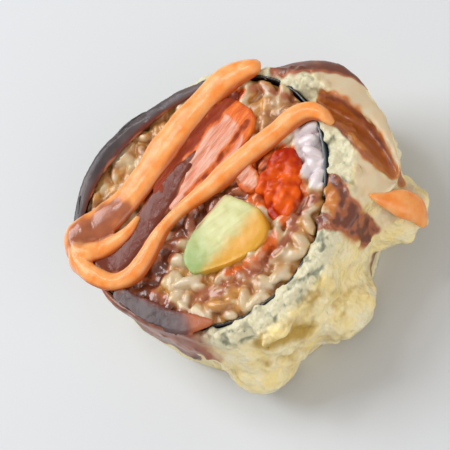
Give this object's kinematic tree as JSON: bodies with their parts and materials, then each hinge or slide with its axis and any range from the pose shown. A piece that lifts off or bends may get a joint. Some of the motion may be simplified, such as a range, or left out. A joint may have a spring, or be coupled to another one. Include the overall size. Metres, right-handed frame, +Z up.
{
  "type": "slice of fried sushi roll",
  "caption": "Slice of a tempura-fried sushi roll lying on a cut face: rice and fillings rolled in nori, in a crisp batter coat, with sauce drizzled over the top.",
  "frame": {"origin": "on the roll's axis, at the lower cut face that the slice rests on", "axes": "+Z up along the roll's axis, out of the drizzled cut face; the fried flange stands out towards +X"},
  "size_m": [0.0617, 0.0623, 0.024],
  "materials": {
    "batter": "rough fried batter, pale straw",
    "nori": "damp dark green sheet",
    "rice": "moist translucent grains",
    "crab": "moist fibres, pink",
    "tuna": "wet chopped fish, red orange",
    "avocado": "smooth soft flesh, green to yellow",
    "orange_sauce": "glossy thick sauce",
    "dark_sauce": "glossy thin sauce, dark brown red"
  },
  "bodies": {
    "root": {"tempura_coat": "batter", "nori": "nori", "sushi_rice": "rice", "crab_stick": "crab", "crab_stick_end": "crab", "spicy_tuna": "tuna", "avocado": "avocado"}
  },
  "joints": []
}
